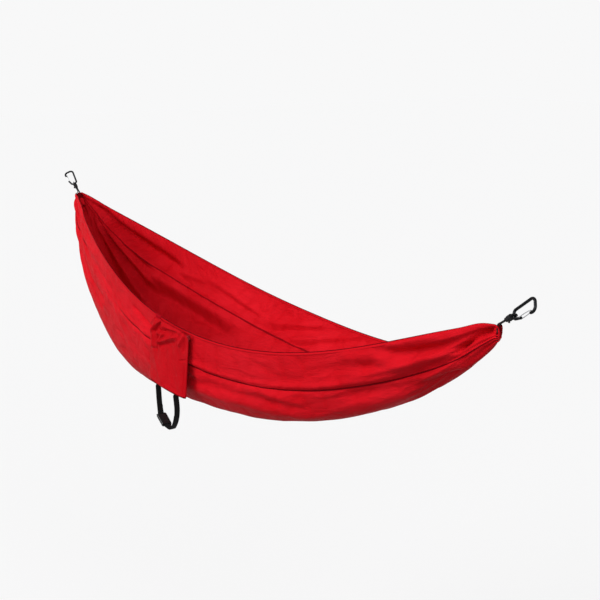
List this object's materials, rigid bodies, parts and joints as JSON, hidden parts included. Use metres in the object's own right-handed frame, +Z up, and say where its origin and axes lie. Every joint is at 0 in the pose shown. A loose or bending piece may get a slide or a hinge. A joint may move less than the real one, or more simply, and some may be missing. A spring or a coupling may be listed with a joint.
{
  "type": "camping hammock",
  "caption": "Gathered-end cloth hammock hanging in a deep curve, with a rope and wire-gate carabiner at each end and a stuff sack with a buckled strap on its front rim.",
  "frame": {"origin": "middle of the straight line between the seats in the bows of the two carabiners, from which the hammock hangs", "axes": "+X along the bed to its near end, +Z up, and -Y to the front, where the stuff sack hangs"},
  "size_m": [2.8325, 0.6256, 0.7001],
  "materials": {
    "red_nylon": "thin red parachute nylon with a slight sheen",
    "deep_red_nylon": "red nylon, doubled and gathered",
    "red_cord": "red braided cord",
    "black_rope": "black braided cord",
    "black_webbing": "black woven webbing",
    "anodised_aluminium": "black anodised",
    "gate_wire": "bright drawn wire",
    "black_plastic": "black moulded plastic"
  },
  "bodies": {
    "bed": {"centre_panel": "red_nylon", "front_side_panel": "red_nylon", "rear_side_panel": "red_nylon", "far_end_sleeve": "deep_red_nylon", "near_end_sleeve": "deep_red_nylon", "far_rope": "black_rope", "near_rope": "black_rope", "far_rope_knot": "black_rope", "near_rope_knot": "black_rope", "sack_tab": "deep_red_nylon"},
    "far_carabiner": {"far_carabiner_body": "anodised_aluminium"},
    "far_gate": {"far_carabiner_gate": "gate_wire"},
    "near_carabiner": {"near_carabiner_body": "anodised_aluminium"},
    "near_gate": {"near_carabiner_gate": "gate_wire"},
    "sack": {"sack_body": "red_nylon", "sack_base": "deep_red_nylon", "sack_collar": "red_nylon", "base_webbing": "black_webbing"},
    "sack_cord": {"drawcord": "red_cord", "drawcord_knot": "red_cord"},
    "strap": {"left_webbing": "black_webbing", "right_webbing": "black_webbing", "buckle_socket": "black_plastic", "buckle_plug": "black_plastic"},
    "front_prong": {"front_buckle_prong": "black_plastic"},
    "rear_prong": {"rear_buckle_prong": "black_plastic"}
  },
  "joints": [
    {"name": "far_carabiner_swing", "type": "hinge", "parent": "bed", "child": "far_carabiner", "pos_m": [-1.3454, 0, -0.04084], "axis": [-0.2796, -0.866, -0.4145], "range_deg": [-80, 80]},
    {"name": "far_gate_opening", "type": "hinge", "parent": "far_carabiner", "child": "far_gate", "pos_m": [-1.36854, -0.01375, -0.03481], "axis": [-0.4843, 0.5, -0.718], "range_deg": [0, 24], "stiffness_Nm_per_rad": 0.08},
    {"name": "near_carabiner_swing", "type": "hinge", "parent": "bed", "child": "near_carabiner", "pos_m": [1.3454, 0, -0.04084], "axis": [0.5068, -0.4226, -0.7514], "range_deg": [-80, 80]},
    {"name": "near_gate_opening", "type": "hinge", "parent": "near_carabiner", "child": "near_gate", "pos_m": [1.37215, -0.00671, -0.04015], "axis": [-0.2363, -0.9063, 0.3504], "range_deg": [0, 24], "stiffness_Nm_per_rad": 0.08},
    {"name": "sack_swing", "type": "hinge", "parent": "bed", "child": "sack", "pos_m": [-0.047, -0.2397, -0.32538], "axis": [-1, 0, 0], "range_deg": [0, 120]},
    {"name": "drawcord_pull", "type": "slide", "parent": "sack", "child": "sack_cord", "axis": [1, 0, 0], "range_m": [0, 0.06]},
    {"name": "strap_swing", "type": "hinge", "parent": "sack", "child": "strap", "pos_m": [0.0215, -0.2487, -0.55968], "axis": [1, 0, 0], "range_deg": [-90, 40]},
    {"name": "front_prong_squeeze", "type": "hinge", "parent": "strap", "child": "front_prong", "pos_m": [0.00308, -0.259, -0.67568], "axis": [-0.5, 0, -0.866], "range_deg": [0, 12], "stiffness_Nm_per_rad": 0.05},
    {"name": "rear_prong_squeeze", "type": "hinge", "parent": "strap", "child": "rear_prong", "pos_m": [0.00308, -0.2384, -0.67568], "axis": [0.5, 0, 0.866], "range_deg": [0, 12], "stiffness_Nm_per_rad": 0.05}
  ],
  "couplings": [
    {"joint": "rear_prong_squeeze", "follows": "front_prong_squeeze", "ratio": 1}
  ]
}
